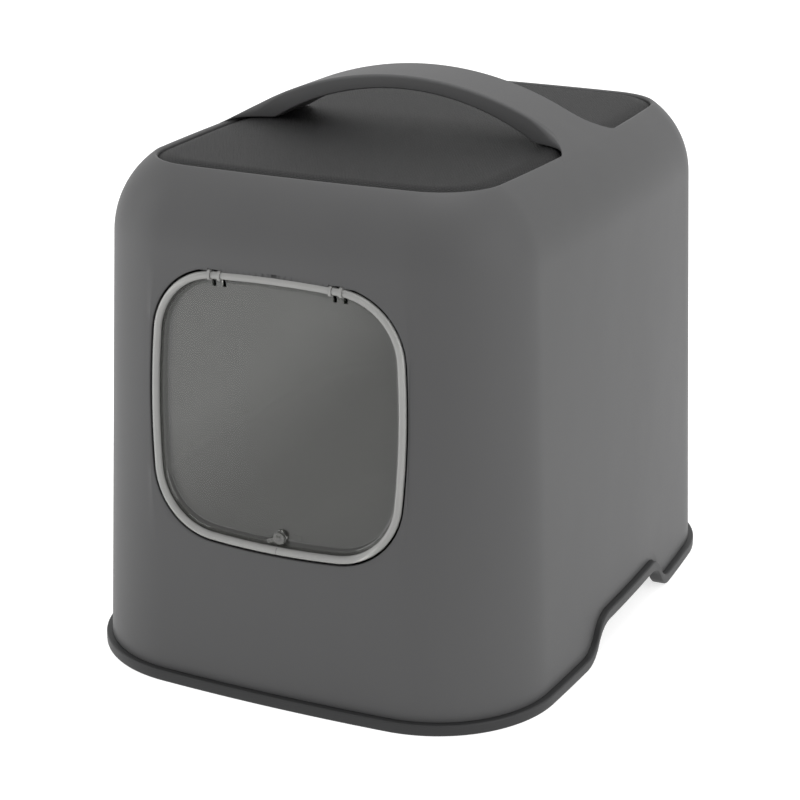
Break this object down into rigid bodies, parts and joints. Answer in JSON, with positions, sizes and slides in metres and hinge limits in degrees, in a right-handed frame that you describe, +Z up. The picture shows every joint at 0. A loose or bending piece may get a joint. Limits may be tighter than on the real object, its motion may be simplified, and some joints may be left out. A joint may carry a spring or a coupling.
{
  "type": "hooded cat litter box",
  "caption": "Hooded litter box: a pan with side hand grips, a lift-off hood with a moulded carrying handle, a top panel and a clear swing flap with a turn latch.",
  "frame": {"origin": "on the floor under the middle of the box", "axes": "+X to the right as seen from the door, the door faces -Y, +Z up"},
  "size_m": [0.3978, 0.5248, 0.4475],
  "materials": {
    "pan_plastic": "dark grey moulded polypropylene, satin",
    "hood_plastic": "mid grey moulded polypropylene, fine matt grain",
    "panel_plastic": "dark grey moulded plastic with fine dimples",
    "clear_plastic": "smoke clear moulded plastic, polished",
    "clip_plastic": "clear moulded plastic, seen pale grey",
    "latch_plastic": "clear moulded plastic, seen pale grey"
  },
  "bodies": {
    "pan": {"pan": "pan_plastic"},
    "hood": {"hood": "hood_plastic", "top_panel": "panel_plastic", "hinge_clip_left": "clip_plastic", "hinge_clip_right": "clip_plastic"},
    "flap": {"flap": "clear_plastic"},
    "latch": {"latch_lever": "latch_plastic", "latch_cam": "latch_plastic"}
  },
  "joints": [
    {"name": "hood_lift", "type": "slide", "parent": "pan", "child": "hood", "axis": [0, 0, 1], "range_m": [0, 0.13]},
    {"name": "flap_swing", "type": "hinge", "parent": "hood", "child": "flap", "pos_m": [0, -0.24115, 0.33141], "axis": [1, 0, 0], "range_deg": [-80, 80]},
    {"name": "latch_turn", "type": "hinge", "parent": "flap", "child": "latch", "pos_m": [0.0035, -0.24449, 0.135], "axis": [0, 1, 0], "range_deg": [0, 90]}
  ]
}
